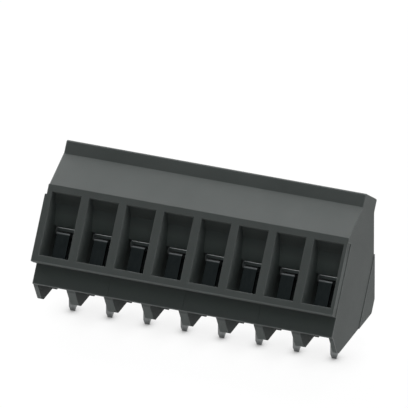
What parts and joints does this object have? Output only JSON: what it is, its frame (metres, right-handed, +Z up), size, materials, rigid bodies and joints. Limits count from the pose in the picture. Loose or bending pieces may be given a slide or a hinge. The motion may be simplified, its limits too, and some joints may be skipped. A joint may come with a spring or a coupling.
{
  "type": "pcb terminal block",
  "caption": "Screw terminal block for a circuit board, with a slanted front of wire entries, a screw tower along its back edge and a row of solder pins.",
  "frame": {"origin": "on the board plane, under the middle of the row of solder pins", "axes": "+X along the row of poles, +Y to the back, away from the wire entries, +Z up from the board"},
  "size_m": [0.0411, 0.0159, 0.0217],
  "materials": {
    "housing_plastic": "fine matt moulded",
    "tinned_copper": "tin plated, satin",
    "plated_steel": "zinc plated, bluish satin",
    "screw_steel": "zinc plated, bright"
  },
  "bodies": {
    "root": {"housing_module_1": "housing_plastic", "housing_module_2": "housing_plastic", "housing_module_3": "housing_plastic", "housing_module_4": "housing_plastic", "contact_1": "tinned_copper", "contact_2": "tinned_copper", "contact_3": "tinned_copper", "contact_4": "tinned_copper", "contact_5": "tinned_copper", "contact_6": "tinned_copper", "contact_7": "tinned_copper", "contact_8": "tinned_copper"},
    "screw_1": {"clamp_screw_1": "screw_steel"},
    "sleeve_1": {"clamp_sleeve_1": "plated_steel"},
    "screw_2": {"clamp_screw_2": "screw_steel"},
    "sleeve_2": {"clamp_sleeve_2": "plated_steel"},
    "screw_3": {"clamp_screw_3": "screw_steel"},
    "sleeve_3": {"clamp_sleeve_3": "plated_steel"},
    "screw_4": {"clamp_screw_4": "screw_steel"},
    "sleeve_4": {"clamp_sleeve_4": "plated_steel"},
    "screw_5": {"clamp_screw_5": "screw_steel"},
    "sleeve_5": {"clamp_sleeve_5": "plated_steel"},
    "screw_6": {"clamp_screw_6": "screw_steel"},
    "sleeve_6": {"clamp_sleeve_6": "plated_steel"},
    "screw_7": {"clamp_screw_7": "screw_steel"},
    "sleeve_7": {"clamp_sleeve_7": "plated_steel"},
    "screw_8": {"clamp_screw_8": "screw_steel"},
    "sleeve_8": {"clamp_sleeve_8": "plated_steel"}
  },
  "joints": [
    {"name": "screw_turn_1", "type": "hinge", "parent": "root", "child": "screw_1", "pos_m": [-0.01778, 0.00308, 0.01152], "axis": [0, 0.5736, 0.8192], "range_deg": [0, 1761]},
    {"name": "sleeve_slide_1", "type": "slide", "parent": "root", "child": "sleeve_1", "axis": [0, -0.5736, -0.8192], "range_m": [0, 0.0022]},
    {"name": "screw_turn_2", "type": "hinge", "parent": "root", "child": "screw_2", "pos_m": [-0.0127, 0.00308, 0.01152], "axis": [0, 0.5736, 0.8192], "range_deg": [0, 1761]},
    {"name": "sleeve_slide_2", "type": "slide", "parent": "root", "child": "sleeve_2", "axis": [0, -0.5736, -0.8192], "range_m": [0, 0.0022]},
    {"name": "screw_turn_3", "type": "hinge", "parent": "root", "child": "screw_3", "pos_m": [-0.00762, 0.00308, 0.01152], "axis": [0, 0.5736, 0.8192], "range_deg": [0, 1761]},
    {"name": "sleeve_slide_3", "type": "slide", "parent": "root", "child": "sleeve_3", "axis": [0, -0.5736, -0.8192], "range_m": [0, 0.0022]},
    {"name": "screw_turn_4", "type": "hinge", "parent": "root", "child": "screw_4", "pos_m": [-0.00254, 0.00308, 0.01152], "axis": [0, 0.5736, 0.8192], "range_deg": [0, 1761]},
    {"name": "sleeve_slide_4", "type": "slide", "parent": "root", "child": "sleeve_4", "axis": [0, -0.5736, -0.8192], "range_m": [0, 0.0022]},
    {"name": "screw_turn_5", "type": "hinge", "parent": "root", "child": "screw_5", "pos_m": [0.00254, 0.00308, 0.01152], "axis": [0, 0.5736, 0.8192], "range_deg": [0, 1761]},
    {"name": "sleeve_slide_5", "type": "slide", "parent": "root", "child": "sleeve_5", "axis": [0, -0.5736, -0.8192], "range_m": [0, 0.0022]},
    {"name": "screw_turn_6", "type": "hinge", "parent": "root", "child": "screw_6", "pos_m": [0.00762, 0.00308, 0.01152], "axis": [0, 0.5736, 0.8192], "range_deg": [0, 1761]},
    {"name": "sleeve_slide_6", "type": "slide", "parent": "root", "child": "sleeve_6", "axis": [0, -0.5736, -0.8192], "range_m": [0, 0.0022]},
    {"name": "screw_turn_7", "type": "hinge", "parent": "root", "child": "screw_7", "pos_m": [0.0127, 0.00308, 0.01152], "axis": [0, 0.5736, 0.8192], "range_deg": [0, 1761]},
    {"name": "sleeve_slide_7", "type": "slide", "parent": "root", "child": "sleeve_7", "axis": [0, -0.5736, -0.8192], "range_m": [0, 0.0022]},
    {"name": "screw_turn_8", "type": "hinge", "parent": "root", "child": "screw_8", "pos_m": [0.01778, 0.00308, 0.01152], "axis": [0, 0.5736, 0.8192], "range_deg": [0, 1761]},
    {"name": "sleeve_slide_8", "type": "slide", "parent": "root", "child": "sleeve_8", "axis": [0, -0.5736, -0.8192], "range_m": [0, 0.0022]}
  ],
  "couplings": [
    {"joint": "screw_turn_1", "follows": "sleeve_slide_1", "rad_per_m": 13963},
    {"joint": "screw_turn_2", "follows": "sleeve_slide_2", "rad_per_m": 13963},
    {"joint": "screw_turn_3", "follows": "sleeve_slide_3", "rad_per_m": 13963},
    {"joint": "screw_turn_4", "follows": "sleeve_slide_4", "rad_per_m": 13963},
    {"joint": "screw_turn_5", "follows": "sleeve_slide_5", "rad_per_m": 13963},
    {"joint": "screw_turn_6", "follows": "sleeve_slide_6", "rad_per_m": 13963},
    {"joint": "screw_turn_7", "follows": "sleeve_slide_7", "rad_per_m": 13963},
    {"joint": "screw_turn_8", "follows": "sleeve_slide_8", "rad_per_m": 13963}
  ]
}
